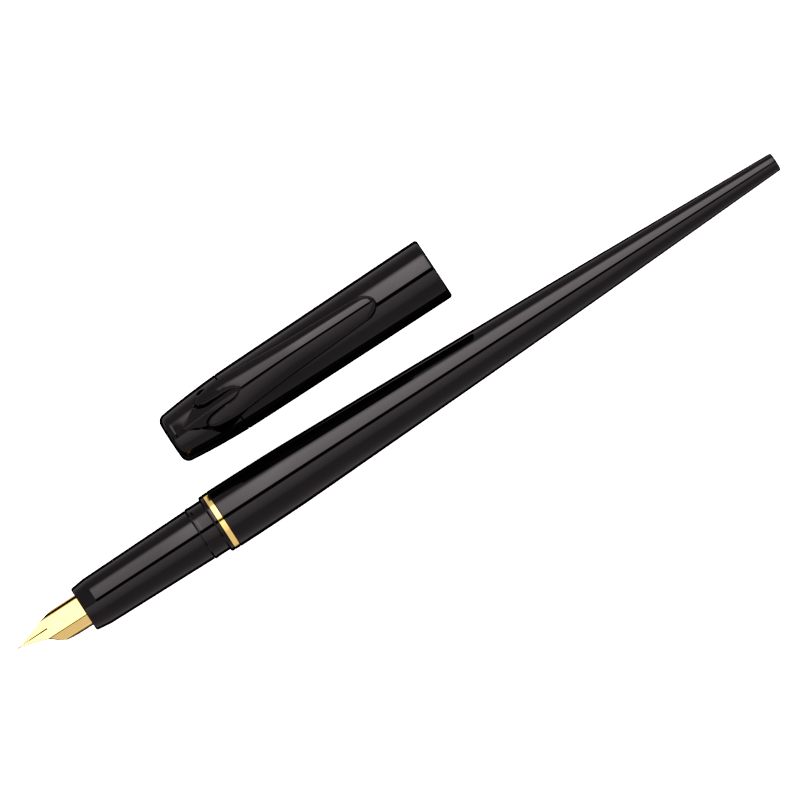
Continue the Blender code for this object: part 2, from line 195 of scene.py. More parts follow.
def dress(piece, node, body, material):
    """Puts the piece in its CAD node's place on that body, with its finish."""
    piece.data.materials.clear()
    piece.data.materials.append(material)
    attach(piece, body)
    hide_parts(node)


def band(first, second, count):
    """Quads between two closed rings of points that start at these indexes."""
    return [(first + k, first + (k + 1) % count, second + (k + 1) % count, second + k) for k in range(count)]


def turned(name, outline, matrix, sides=SIDES, lift=None):
    """The outline of (distance, radius) points turned once round the frame's X axis."""
    outline = rounded(outline)
    angles = np.arange(sides) * math.tau / sides
    points, starts = [], []
    for x, r in outline:
        starts.append(len(points))
        if r == 0:
            points.append((x, 0.0, 0.0))
            continue
        radii = np.broadcast_to(lift(x, r, angles) if lift else r, angles.shape)
        ys, zs = radii * np.cos(angles), radii * np.sin(angles)
        points += np.column_stack((np.full(sides, x), ys, zs)).tolist()
    faces = []
    for index in range(len(outline)):
        after = (index + 1) % len(outline)
        a, b = starts[index], starts[after]
        a_axis, b_axis = outline[index][1] == 0, outline[after][1] == 0
        if a_axis and b_axis:
            continue
        if a_axis:
            faces += [(a, b + (k + 1) % sides, b + k) for k in range(sides)]
        elif b_axis:
            faces += [(a + k, a + (k + 1) % sides, b) for k in range(sides)]
        else:
            faces += band(a, b, sides)
    return mesh_object(name, points, faces, matrix)


def lofted(name, rings, matrix, sharp=SHARP):
    """A closed solid through rings of points, each with the same number of points."""
    count, last = len(rings[0]), len(rings) - 1
    points = [point for ring in rings for point in ring]
    faces = [face for row in range(last) for face in band(row * count, (row + 1) * count, count)]
    faces += [tuple(range(count)), tuple(range(last * count, (last + 1) * count))]
    return mesh_object(name, points, faces, matrix, sharp)


def cut(piece, cutter, operation="DIFFERENCE"):
    """Applies a Boolean and removes the cutter."""
    modifier = piece.modifiers.new("cut", "BOOLEAN")
    modifier.object = cutter
    modifier.operation = operation
    modifier.solver = "EXACT"
    graph = bpy.context.evaluated_depsgraph_get()
    mesh = bpy.data.meshes.new_from_object(piece.evaluated_get(graph))
    piece.modifiers.clear()
    piece.data = mesh
    mesh.shade_smooth()
    mesh.set_sharp_from_angle(angle=SHARP)
    bpy.data.objects.remove(cutter)


# Materials ---------------------------------------------------------------------------


class Shader:
    """A Principled material with short ways to add noise, ramps and bumps."""

    def __init__(self, name, **values):
        self.material = bpy.data.materials.new(name)
        self.material.use_nodes = True
        self.tree = self.material.node_tree
        self.surface = self.tree.nodes["Principled BSDF"]
        self.coordinates = self.tree.nodes.new("ShaderNodeTexCoord").outputs["Object"]
        for key, value in values.items():
            self.surface.inputs[key.replace("_", " ")].default_value = value

    def node(self, kind, links=(), **values):
        node = self.tree.nodes.new(kind)
        for key, value in values.items():
            node.inputs[key.replace("_", " ")].default_value = value
        for socket, source in links:
            self.tree.links.new(source, node.inputs[socket])
        return node

    def noise(self, scale, detail=2.0, roughness=0.5, stretch=None):
        vector = self.coordinates
        if stretch:
            vector = self.node("ShaderNodeMapping", [("Vector", vector)], Scale=stretch).outputs[0]
        return self.node(
            "ShaderNodeTexNoise", [("Vector", vector)], Scale=scale, Detail=detail, Roughness=roughness
        ).outputs["Fac"]

    def ramp(self, source, stops):
        ramp = self.node("ShaderNodeValToRGB", [("Fac", source)])
        elements = ramp.color_ramp.elements
        while len(elements) < len(stops):
            elements.new(0.5)
        for element, (place, colour) in zip(elements, stops):
            element.position = place
            element.color = (*colour, 1.0)
        return ramp.outputs["Color"]

    def grey_ramp(self, source, stops):
        return self.ramp(source, [(place, (value,) * 3) for place, value in stops])

    def add(self, first, second, operation="ADD"):
        node = self.node("ShaderNodeMath", [(0, first), (1, second)])
        node.operation = operation
        return node.outputs[0]

    def spread(self, source, reach):
        """Turns -reach to reach into 0 to 1."""
        links = [("Value", source)]
        return self.node("ShaderNodeMapRange", links, From_Min=-reach, From_Max=reach).outputs[0]

    def bump(self, height, distance, strength):
        """Bumps of this height in metres."""
        links = [("Height", height)]
        return self.node("ShaderNodeBump", links, Distance=distance, Strength=strength).outputs["Normal"]

    def use(self, **sockets):
        for key, source in sockets.items():
            self.tree.links.new(source, self.surface.inputs[key.replace("_", " ")])
        return self.material


def gloss_black():
    """Polished black plastic: faint clouds, smudges, hairline rubs and a trace of orange peel."""
    shader = Shader("gloss_black_polished", IOR=1.5)
    blotch = shader.noise(60.0, 3.0)
    film = shader.noise(420.0, 4.0, 0.6)
    hairs = shader.noise(260.0, 2.0, 0.5, (0.12, 3.0, 3.0))
    colour = shader.ramp(blotch, [(0.3, (0.0012, 0.0010, 0.0012)), (0.7, (0.0036, 0.0030, 0.0034))])
    smudge = shader.grey_ramp(film, [(0.35, 0.012), (0.75, 0.04)])
    rub = shader.grey_ramp(hairs, [(0.62, 0.0), (0.8, 0.035)])
    peel = shader.bump(shader.noise(900.0, 1.0), 0.000001, 0.25)
    return shader.use(Base_Color=colour, Roughness=shader.add(smudge, rub), Normal=peel)


def gold_plate():
    shader = Shader("gold_plate_bright", Metallic=1.0)
    tone = shader.noise(180.0, 3.0)
    brush = shader.noise(900.0, 3.0, 0.6, (0.08, 1.0, 1.0))
    colour = shader.ramp(tone, [(0.3, (0.97, 0.69, 0.22)), (0.7, (1.0, 0.74, 0.27))])
    rough = shader.grey_ramp(brush, [(0.3, 0.07), (0.7, 0.16)])
    grain = shader.bump(brush, 0.000003, 0.2)
    return shader.use(Base_Color=colour, Roughness=rough, Normal=grain)


def nib_gold():
    """The same plating, brushed finer along the nib, so that it spreads the light more."""
    shader = Shader("nib_gold_brushed", Metallic=1.0)
    tone = shader.noise(240.0, 3.0)
    brush = shader.noise(2400.0, 3.0, 0.6, (0.06, 1.0, 1.0))
    colour = shader.ramp(tone, [(0.3, (0.88, 0.63, 0.225)), (0.7, (0.93, 0.67, 0.255))])
    rough = shader.grey_ramp(brush, [(0.3, 0.08), (0.7, 0.15)])
    return shader.use(Base_Color=colour, Roughness=rough, Normal=shader.bump(brush, 0.000002, 0.2))


def iridium():
    shader = Shader("iridium_ground", Metallic=1.0)
    grit = shader.noise(6000.0, 3.0)
    colour = shader.ramp(grit, [(0.3, (0.62, 0.50, 0.38)), (0.7, (0.80, 0.68, 0.54))])
    rough = shader.grey_ramp(grit, [(0.3, 0.3), (0.7, 0.5)])
    return shader.use(Base_Color=colour, Roughness=rough, Normal=shader.bump(grit, 0.00001, 0.4))


def satin_plastic(name, dark, light, low, high):
    """A plain moulded plastic: faint cloudiness, a fine spark-eroded grain and uneven gloss."""
    shader = Shader(name, Specular_IOR_Level=0.4)
    cloud = shader.noise(300.0, 3.0)
    grain = shader.noise(5200.0, 2.0, 0.6)
    colour = shader.ramp(cloud, [(0.3, dark), (0.7, light)])
    rough = shader.grey_ramp(grain, [(0.3, low), (0.7, high)])
    return shader.use(Base_Color=colour, Roughness=rough, Normal=shader.bump(grain, 0.00001, 0.5))


def bright_steel():
    shader = Shader("bright_steel_drawn", Metallic=1.0)
    lines = shader.noise(1500.0, 3.0, 0.6, (0.05, 1.0, 1.0))
    colour = shader.ramp(lines, [(0.3, (0.55, 0.55, 0.57)), (0.7, (0.75, 0.75, 0.77))])
    rough = shader.grey_ramp(lines, [(0.3, 0.12), (0.7, 0.28)])
    return shader.use(Base_Color=colour, Roughness=rough, Normal=shader.bump(lines, 0.000005, 0.3))


def clear_plastic():
    shader = Shader("clear_plastic_moulded", Transmission_Weight=1.0, IOR=1.49)
    flow = shader.noise(200.0, 3.0, 0.5, (0.3, 1.0, 1.0))
    colour = shader.ramp(flow, [(0.3, (0.82, 0.88, 0.9)), (0.7, (0.95, 0.97, 0.97))])
    rough = shader.grey_ramp(flow, [(0.3, 0.02), (0.7, 0.08)])
    return shader.use(Base_Color=colour, Roughness=rough, Normal=shader.bump(flow, 0.00001, 0.1))


GLOSS = gloss_black()
GOLD = gold_plate()
NIB_GOLD = nib_gold()
HARD_TIP = iridium()
# Dark material for the walls of the nib's slit: partly dried ink, partly painted shade that stands in for the
# shade inside the narrow slit.
SLIT_INK_AND_SHADE = satin_plastic("ink_residue_and_painted_slit_shade", (0.008, 0.006, 0.010), (0.030, 0.018, 0.012), 0.5, 0.8)
STEEL = bright_steel()
CLEAR = clear_plastic()
FEED = satin_plastic("feed_plastic_satin", (0.010, 0.010, 0.011), (0.018, 0.018, 0.019), 0.3, 0.45)
LINER = satin_plastic("liner_plastic_satin", (0.012, 0.012, 0.013), (0.024, 0.024, 0.026), 0.35, 0.5)
KNOB = satin_plastic("knob_plastic_satin", (0.010, 0.010, 0.011), (0.022, 0.022, 0.023), 0.28, 0.4)
GREY = satin_plastic("moulded_grey_satin", (0.20, 0.20, 0.21), (0.27, 0.27, 0.28), 0.35, 0.5)
RUBBER = satin_plastic("seal_rubber_dull", (0.018, 0.018, 0.018), (0.034, 0.034, 0.033), 0.6, 0.8)


# Pen: distances along it from the nib's tip and radii round its axis -----------------

PEN_LENGTH = 200.0
GRIP_START = 16.9
GRIP_END = 47.44
GRIP_BORE = 4.1
GRIP_BACK_RADIUS = 6.3
SOCKET_START = 40.2
SOCKET_BORE = 5.0
PLUG_RADIUS = 4.9
PLUG_BORE = 4.3
BEAD_RADIUS = 6.49
COLLAR_RADIUS = 6.42
LIP_RADIUS = 7.07
LIP_START = 51.5
LIP_BACK = 52.45
TENON_END = 62.0
RING_RADIUS = 7.1
RING_BORE = 5.85
RING_START = 52.48
RING_END = 53.87
BARREL_START = 53.9
BARREL_RADIUS = 7.16
BARREL_SKIN = (
    (54.1, BARREL_RADIUS),
    (60.3, 7.13),
    (66.0, 7.07),
    (71.5, 6.98),
    (75.5, 6.86),
    (80.0, 6.71),
    (100.3, 6.04),
    (122.5, 5.27),
    (144.7, 4.47),
    (171.4, 3.38),
    (PEN_LENGTH - 0.45, 2.22),
)
BARREL_BORE = ((187.0, 0), (187.0, 1.1), (124.0, 3.7), (121.0, 4.3), (76.0, 5.4), (62.6, 5.5))
THREAD_SPAN = (54.5, 60.5)
THREAD_PITCH = 1.5
THREAD_ROOT = 5.3
THREAD_RIDGE = 0.5
THREAD_PLAY = 0.2


def make_barrel():
    root = THREAD_ROOT + THREAD_RIDGE + THREAD_PLAY
    outline = [(BARREL_START, BARREL_RADIUS, 0.12), *flowing(BARREL_SKIN)]
    outline += [(PEN_LENGTH - 0.02, 2.17, 0.3), (PEN_LENGTH, 1.2), (PEN_LENGTH, 0)]
    outline += [*BARREL_BORE, (61.0, root)]
    outline += rows(*THREAD_SPAN, root, THREAD_PITCH)[::-1]
    outline += [(BARREL_START, root + 0.05, 0.05)]
    lift = thread(THREAD_SPAN, root, -THREAD_RIDGE, THREAD_PITCH, math.pi)
    piece = turned("barrel_tapered", blind(outline), PEN, lift=lift)
    dress(piece, "barrel", "barrel", GLOSS)


def make_grip_section():
    outline = [(GRIP_START, GRIP_BORE, 0.08), (GRIP_START, 5.42, 0.5), (20.4, 5.86, 0.4), (24.0, 5.92)]
    outline += [(GRIP_END, GRIP_BACK_RADIUS, 0.04), (GRIP_END, SOCKET_BORE)]
    outline += [(SOCKET_START, SOCKET_BORE), (SOCKET_START, GRIP_BORE)]
    piece = turned("grip_section_polished", outline, PEN)
    dress(piece, "grip_section", "section", GLOSS)


def make_coupling():
    """A plug in the grip, then the snap bead, the collar, the lip and the screw tenon."""
    outline = [(40.5, PLUG_BORE), (40.5, PLUG_RADIUS), (47.47, PLUG_RADIUS), (47.47, 6.22)]
    outline += [(47.56, GRIP_BACK_RADIUS, 0.03), (47.75, BEAD_RADIUS, 0.15), (48.3, BEAD_RADIUS, 0.15)]
    outline += [(48.62, COLLAR_RADIUS, 0.1), (51.45, COLLAR_RADIUS, 0.06), (LIP_START, 6.8, 0.04)]
    outline += [(51.75, LIP_RADIUS, 0.3), (LIP_BACK, LIP_RADIUS, 0.06), (LIP_BACK, 5.7), (54.2, 5.7)]
    outline += rows(*THREAD_SPAN, THREAD_ROOT, THREAD_PITCH)
    outline += [(TENON_END, THREAD_ROOT, 0.3), (TENON_END, PLUG_BORE, 0.1)]
    lift = thread(THREAD_SPAN, THREAD_ROOT, THREAD_RIDGE, THREAD_PITCH)
    piece = turned("section_coupling_polished", outline, PEN, lift=lift)
    dress(piece, "section_coupling", "section", GLOSS)


def make_trim_ring():
    outline = [(RING_START, RING_BORE), (RING_START, RING_RADIUS - 0.12)]
    outline += [(RING_START + 0.1, RING_RADIUS, 0.06), (RING_END - 0.1, RING_RADIUS, 0.06)]
    outline += [(RING_END, RING_RADIUS - 0.12), (RING_END, RING_BORE)]
    dress(turned("trim_ring_gold", outline, PEN), "trim_ring", "ring", GOLD)


# Nib and feed: the same distances, and the nib's top towards +Z ----------------------

SHEET = 0.35
NIB_TOP = 2.5
NIB_TOP_HALF = 2.45
NIB_FOOT = (3.63, 0.66)
NIB_SKIRT = 3.95
NIB_SKIRT_START = math.radians(8.0)
NIB_SKIRT_END = math.radians(-20.0)
NIB_TAIL = 27.0
NIB_DROOP = 0.3
NIB_DROOP_LENGTH = 8.0
NIB_STATIONS = (0.0, 1.0, 2.0, 3.0, 4.0, 5.0, 6.0, 7.0, NIB_DROOP_LENGTH, NIB_TAIL)
CREASE_STRIP = 0.3
CREASE_TILT = math.radians(20.2)
CREASE_RADIUS = 0.04
NIB_PLAN = (
    (0.85, 0.13), (2.05, 0.48), (4.25, 1.19), (6.25, 1.94), (7.55, NIB_TOP_HALF + 0.03), (9.3, 3.62),
    (10.0, 3.8), (10.9, 4.25), (NIB_TAIL + 1, 4.25),
)
NIB_UNDERSIDE = (
    (-1.0, 1.4), (7.1, 1.3), (9.35, 0.6), (11.0, -0.15), (13.0, -0.9), (15.0, -1.25), (29.0, -1.5),
)
SLIT_START = 1.9
SLIT_END = 7.82
SLIT_PLAN = ((SLIT_START, 0.08), (2.6, 0.12), (SLIT_END, 0.15))
CHAMFER_HALF = 0.13
CHAMFER_FLARE = 0.09
# Half width about the slit within which the walls get the ink and painted-shade material.
INK_AND_SHADE_HALF = 0.17
GROOVE_DEPTH = 0.04
RING_CENTRE = 8.45
RING_RADII = (0.62, 0.57, 0.52)
LOZENGE_CENTRE = 12.1
LOZENGE_REACHES = (1.11, 1.05, 0.99)
LOZENGE_SQUASH = 0.75
DIAMOND = ((-1, 0), (0, 1), (1, 0), (0, -1))
CLEAR_OF_NIB = 6.0
TIP_LENGTH = 0.88
TIP_RADIUS = 0.24
TIP_STEPS = 12

FEED_RADIUS = 3.45
FEED_START = 1.9
FEED_FULL = 10.4
FEED_END = 37.4
FEED_WIDTH = (
    (FEED_START, 0.05), (3.6, 0.08), (5.0, 0.2), (7.0, 0.36), (8.5, 0.52), (9.6, 0.8), (FEED_FULL, 1.0),
)
FEED_DEPTH = (
    (FEED_START, 0.03), (3.6, 0.06), (5.0, 0.13), (7.0, 0.25), (8.5, 0.42), (9.6, 0.72), (FEED_FULL, 1.0),
)
FINS = 7
FIN_START = 10.6
FIN_PITCH = 0.8
FIN_GAP = 0.35
FIN_ROOT = 2.6
FIN_EDGE = 0.03


def nib_side(inset):
    """One side of the cross-section, from the edge of the top plane to the skirt's edge."""
    y, z = NIB_TOP_HALF - CREASE_STRIP - inset * 0.4, NIB_TOP - inset
    crease_y, crease_z = y + CREASE_STRIP * math.cos(CREASE_TILT), z - CREASE_STRIP * math.sin(CREASE_TILT)
    outline = [(0, z), (y, z, CREASE_RADIUS), (crease_y, crease_z, CREASE_RADIUS)]
    outline += [(NIB_FOOT[0] - inset, NIB_FOOT[1] - inset * 0.2)]
    outline += arc(NIB_SKIRT - inset, NIB_SKIRT_START, NIB_SKIRT_END, 8)
    return rounded(outline, 4)[1:]


def droop(x):
    return NIB_DROOP * (max(0.0, NIB_DROOP_LENGTH - x) / NIB_DROOP_LENGTH) ** 1.5


def nib_ring(x):
    outer, inner = nib_side(0.0), nib_side(SHEET)
    ring = outer[::-1] + [(-y, z) for y, z in outer]
    ring += [(-y, z) for y, z in inner[::-1]] + inner
    return [(x, y, z - droop(x)) for y, z in ring]


def block(outline, low, high):
    """A cutter of this plan outline between two heights."""
    return lofted("cutter", [[(x, y, z) for x, y in outline] for z in (low, high)], NIB)


def circle(centre, radius, count=40):
    angles = [math.tau * k / count for k in range(count)]
    return [(centre + radius * math.cos(angle), radius * math.sin(angle)) for angle in angles]


def lozenge(centre, reach):
    return [(centre + reach * x, LOZENGE_SQUASH * reach * y) for x, y in DIAMOND]


def groove(outlines):
    """A V-shaped band between an outer and an inner plan outline, deepest under the middle one."""
    outer, middle, inner = outlines
    over, above = NIB_TOP + 0.01, NIB_TOP + 0.3
    rings = ((outer, over), (middle, NIB_TOP - GROOVE_DEPTH), (inner, over), (inner, above), (outer, above))
    points = [(x, y, level) for outline, level in rings for x, y in outline]
    starts = [row * len(outer) for row in range(len(rings))]
    faces = []
    for first, second in zip(starts, starts[1:] + starts[:1]):
        faces += band(first, second, len(outer))
    return mesh_object("groove", points, faces, NIB)


def slit_chamfer():
    """A V along the slit that takes off its two edges."""
    rings = []
    for x in np.linspace(SLIT_START - 0.15, SLIT_END + 0.03, 12):
        half = CHAMFER_HALF + CHAMFER_FLARE * (x - SLIT_START) / (SLIT_END - SLIT_START)
        top = NIB_TOP - droop(x)
        section = ((-half, 0.01), (0, -half), (half, 0.01), (half, 0.3), (-half, 0.3))
        rings.append([(x, y, top + z) for y, z in section])
    return lofted("chamfer", rings, NIB)


def ink_and_shade_slit(nib):
    """Dried ink and painted shade on the walls of the slit: a dark material that stands in for the shade inside
    the narrow slit as well as for ink.
    """
    nib.data.materials.append(SLIT_INK_AND_SHADE)
    back = NIB.inverted()
    for face in nib.data.polygons:
        x, y, _ = back @ face.center
        flat = (back.to_3x3() @ face.normal).normalized()
        if abs(y) < INK_AND_SHADE_HALF and SLIT_START - 0.1 < x < SLIT_END + 0.03 and abs(flat.z) < 0.5:
            face.material_index = 1


def make_nib():
    """A folded sheet, cut to the nib's plan and underside, slit and engraved."""
    nib = lofted("nib_folded", [nib_ring(x) for x in NIB_STATIONS], NIB)
    cut(nib, block(mirrored(NIB_PLAN), -CLEAR_OF_NIB, CLEAR_OF_NIB), "INTERSECT")
    under = [*NIB_UNDERSIDE, (29.0, CLEAR_OF_NIB), (-1.0, CLEAR_OF_NIB)]
    sides = [[(x, y, z) for x, z in under] for y in (-CLEAR_OF_NIB, CLEAR_OF_NIB)]
    cut(nib, lofted("side", sides, NIB), "INTERSECT")
    cut(nib, slit_chamfer())
    cut(nib, block(mirrored(SLIT_PLAN), 0.5, 4.0))
    cut(nib, groove([circle(RING_CENTRE, radius) for radius in RING_RADII]))
    cut(nib, groove([lozenge(LOZENGE_CENTRE, reach) for reach in LOZENGE_REACHES]))
    dress(nib, "nib", "section", NIB_GOLD)
    # Gives the slit's walls the dark ink and painted-shade material.
    ink_and_shade_slit(nib)


def make_tipping():
    """The hard metal welded to the nib's tip, as one bead."""
    half = TIP_LENGTH / 2
    angles = [math.pi * step / TIP_STEPS for step in range(1, TIP_STEPS)]
    bead = [(half - half * math.cos(angle), TIP_RADIUS * math.sin(angle)) for angle in angles]
    tip_frame = NIB @ Matrix.Translation((0, 0, NIB_TOP - NIB_DROOP - 0.22))
    piece = turned("nib_tipping_bead", [(0, 0), *bead, (TIP_LENGTH, 0)], tip_frame, TIP_SIDES)
    dress(piece, "nib_tipping", "section", HARD_TIP)


def feed_ring(x, radius, width=1.0, depth=1.0):
    """The feed's cross-section: a neck under the nib's facets and a round belly, about its flat top."""
    top = NIB_TOP - SHEET - 0.2
    side = [(0.2, top - 0.6), (0.2, top), (2.1, top), (3.0, 0.5)]
    belly = arc(radius, math.radians(-6), math.radians(-174), 28)
    ring = side + belly + [(-y, z) for y, z in side[::-1]]
    return [(x, y * width, top - droop(x) + (z - top) * depth) for y, z in ring]


def make_feed():
    """A tapering front under the nib, then the fins, then a plain round body inside the section."""
    width, depth = curve(FEED_WIDTH), curve(FEED_DEPTH)
    stations = np.linspace(FEED_START, FEED_FULL, 36)
    rings = [feed_ring(x, FEED_RADIUS, width(x), depth(x)) for x in stations]
    for fin in range(FINS):
        start = FIN_START + fin * FIN_PITCH
        for x, radius in (
            (start - FIN_EDGE, FEED_RADIUS),
            (start, FEED_RADIUS - FIN_EDGE),
            (start + FIN_EDGE, FIN_ROOT),
            (start + FIN_GAP - FIN_EDGE, FIN_ROOT),
            (start + FIN_GAP, FEED_RADIUS - FIN_EDGE),
            (start + FIN_GAP + FIN_EDGE, FEED_RADIUS),
        ):
            rings.append(feed_ring(x, radius))
    rings.append(feed_ring(FEED_END, FEED_RADIUS))
    dress(lofted("feed_finned", rings, NIB), "feed", "section", FEED)


# Cap: distances along it from its closed end and radii round its axis ----------------

CAP_LENGTH = 69.93
CAP_SEAM = 16.1
CAP_RADIUS = 7.5
SEAM_GAP = 0.02
SEAM_BEVEL = 0.12
SEAM_DEPTH = 6.9
CROWN_CORNER = 1.9
CROWN_SKIN = ((1.9, 6.05), (4.6, 6.34), (7.8, 6.64), (12.3, 6.93), (15.7, 7.11))
TUBE_SKIN = ((16.6, 7.13), (23.4, 7.2), (38.9, 7.31), (56.7, 7.44), (68.9, CAP_RADIUS))
CROWN_TENON = 22.0
CROWN_TENON_RADIUS = 6.2
CROWN_BORE = 5.35
CAP_BORE = 6.7
SNAP_BORE = 6.56
LINER_RADIUS = 5.25
LINER_FLANGE = 6.2
LINER_MOUTH = 35.1
LINER_MOUTH_RADIUS = 5.75
LINER_BORE = 4.6
MOULD_LINE_HEIGHT = 0.03
MOULD_LINE_HALF = 0.02
MOULD_LINE_SPAN = (0.2, 4.0)


def corner(end, radius, steps=24):
    """A quarter round from the closed end's face to this point of the skin, without the point."""
    x, r = end[0], end[1] - radius
    angles = [math.pi / 2 * step / steps for step in range(steps)]
    return [(x - radius * math.cos(angle), r + radius * math.sin(angle)) for angle in angles]


def mould_line(x, r, angle):
    """A hairline along the top, where the two halves of the mould met."""
    off = np.abs((angle - math.pi / 2 + math.pi) % math.tau - math.pi)
    on_line = MOULD_LINE_SPAN[0] < x < MOULD_LINE_SPAN[1]
    return r + MOULD_LINE_HEIGHT * np.exp(-((off / MOULD_LINE_HALF) ** 2)) * on_line


def make_crown():
    seam = CAP_SEAM - SEAM_GAP
    outline = [(0, 0), *corner(CROWN_SKIN[0], CROWN_CORNER), *flowing(CROWN_SKIN)]
    outline += [(seam - SEAM_BEVEL, 7.11, 0.05), (seam, SEAM_DEPTH), (seam, CROWN_TENON_RADIUS)]
    outline += [(CROWN_TENON, CROWN_TENON_RADIUS, 0.2), (CROWN_TENON, CROWN_BORE)]
    outline += [(7.2, CROWN_BORE, 1.0), (6.2, 0)]
    piece = turned("cap_crown_polished", outline, CAP, CROWN_SIDES, mould_line)
    dress(piece, "cap_crown", "cap", GLOSS)


def make_cap_tube():
    seam = CAP_SEAM + SEAM_GAP
    outline = [(seam, 6.3), (seam, SEAM_DEPTH), (seam + SEAM_BEVEL, 7.12, 0.05), *flowing(TUBE_SKIN)]
    outline += [(CAP_LENGTH, CAP_RADIUS, 0.7), (CAP_LENGTH, 6.72, 0.12), (65.7, CAP_BORE)]
    outline += [(65.3, SNAP_BORE, 0.2), (64.7, SNAP_BORE, 0.2), (64.3, CAP_BORE)]
    outline += [(50.0, CAP_BORE), (40.0, 6.3)]
    dress(turned("cap_tube_polished", outline, CAP), "cap_tube", "cap", GLOSS)


def make_inner_cap():
    """The liner: a cup with a flange in the seam and a mouth that meets the section's end."""
    outline = [(7.9, 0), (7.9, LINER_RADIUS, 0.5), (22.3, LINER_RADIUS), (22.3, LINER_FLANGE, 0.1)]
    outline += [(23.6, LINER_FLANGE, 0.1), (23.6, LINER_RADIUS), (31.5, LINER_RADIUS)]
    outline += [(33.4, LINER_MOUTH_RADIUS), (LINER_MOUTH, LINER_MOUTH_RADIUS, 0.3)]
    outline += [(LINER_MOUTH, LINER_BORE, 0.15), (9.2, LINER_BORE, 0.4), (8.9, 0)]
    piece = turned("inner_cap_moulded", outline, CAP, LINER_SIDES)
    dress(piece, "inner_cap", "cap", LINER)


# Clip: an arrowhead in front runs on as a sunk leaf between two rounded lobes, and behind them
# the tongue narrows to a round end. Tables give a height or a half width along the cap.

CLIP_START = 3.5
SHOULDER = 8.9
LOBE_FULL = 12.6
LEAF_END = 19.3
END_START = 51.4
CLIP_END = 55.0
CLIP_NECK = (14.0, 19.0)
CLIP_GAP = 0.15
CLIP_UNDERSIDE = 9.1
SPEAR_HALF = ((CLIP_START, 0.02), (4.7, 0.62), (6.5, 1.5), (7.7, 2.08), (SHOULDER, 2.45))
TONGUE_HALF = ((LOBE_FULL, 4.5), (16.3, 4.62), (23.4, 4.22), (32.3, 3.69), (41.2, 3.29), (CLIP_END, 2.65))
FOOT_HALF = ((CLIP_START, 0.1), (4.7, 1.0), (6.5, 1.9), (8.9, 3.4), (10.6, 5.1), (13.0, 5.25), (16.3, 4.85))
LEAF_HALF = ((LOBE_FULL, 1.25), (14.0, 1.13), (16.1, 1.12), (18.0, 0.85), (LEAF_END, 0.05))
EDGE_HEIGHT = (
    (SHOULDER, 8.1), (10.6, 8.8), (13.0, 9.3), (16.3, 9.65), (20.0, 9.98), (25.0, 10.3), (32.0, 10.45),
    (CLIP_END, 10.4),
)
CREST_HEIGHT = (
    (SHOULDER, 9.4), (10.6, 10.2), (13.0, 10.9), (16.3, 11.4), (20.0, 11.85), (25.0, 12.15),
    (32.0, 12.25), (45.6, 11.8), (CLIP_END, 11.4),
)
RIDGE_HEIGHT = (
    (CLIP_START, 6.5), (6.5, 7.75), (SHOULDER, 8.8), (LOBE_FULL, 10.4), (16.0, 11.15), (LEAF_END, 11.75),
)
RIDGE_SLOPE = ((CLIP_START, 0.62), (SHOULDER, 0.62), (LOBE_FULL, 0.5), (16.0, 0.4), (LEAF_END, 0.25))
RIDGE_ROUND = 0.3
CREST_SHIFT = 0.4
CREST_RUN = 8.0
WALL_WIDTH = 0.55
WALL_SLANT = 0.45
WALL_RUN = 2.0
LOBE_ROUND = 0.6
NOSE_BACK = 2.0
NOSE_RUN = 3.0
NOSE_DROP = 0.7
NOSE_SLANT = 0.7
SIDE_ROUND = 0.34
END_LEAD = 1.0
END_RUN = 3.0
END_DROP = 1.0
END_SPREAD = 3.0
END_ROUND = 1.1
SIDE_BOW = 0.25

# How many points or stations each stretch of the clip has.
LEAF_COLUMNS = 9
WALL_COLUMNS = 9
LOBE_COLUMNS = 22
SIDE_ROWS = 8
FOOT_COLUMNS = 16
SPEAR_STATIONS = 60
LOBE_STATIONS = 90
LEAF_STATIONS = 90
TONGUE_STATIONS = 70
END_STATIONS = 60

SKIN = np.array(((0.0, 4.1), (1.2, 5.5), *CROWN_SKIN, *TUBE_SKIN))
spear_half, tongue_half, foot_half = curve(SPEAR_HALF), curve(TONGUE_HALF), curve(FOOT_HALF)
leaf_half, edge_height, crest_height = curve(LEAF_HALF), curve(EDGE_HEIGHT), curve(CREST_HEIGHT)
ridge_height, ridge_slope = curve(RIDGE_HEIGHT), curve(RIDGE_SLOPE)


def behind_shoulder(x, full_half):
    """A half width that opens from the arrowhead's own to this one in a quarter of an ellipse."""
    opened = math.sqrt(max(0.0, 1 - ((LOBE_FULL - x) / (LOBE_FULL - SHOULDER)) ** 2))
    return SPEAR_HALF[-1][1] + (full_half - SPEAR_HALF[-1][1]) * opened


def clip_half(x):
    """Half the clip's width."""
    if x < SHOULDER:
        return spear_half(x)
    if x < LOBE_FULL:
        return behind_shoulder(x, tongue_half(LOBE_FULL))
    end = math.sqrt(max(0.0, 1 - (max(0.0, x - END_START) / (CLIP_END - END_START)) ** 2))
    return tongue_half(x) * end + 0.01


def inner_half(x):
    """Half the width between the lobes."""
    if x < SHOULDER:
        return spear_half(x)
    if x < LOBE_FULL:
        return behind_shoulder(x, leaf_half(LOBE_FULL))
    return leaf_half(x)


def drop(distance, radius):
    """How far a rounded edge of this radius lies below its face, for a depth of 1."""
    return 1 - math.sqrt(max(0.0, 1 - (1 - min(max(distance, 0.0) / radius, 1.0)) ** 2))


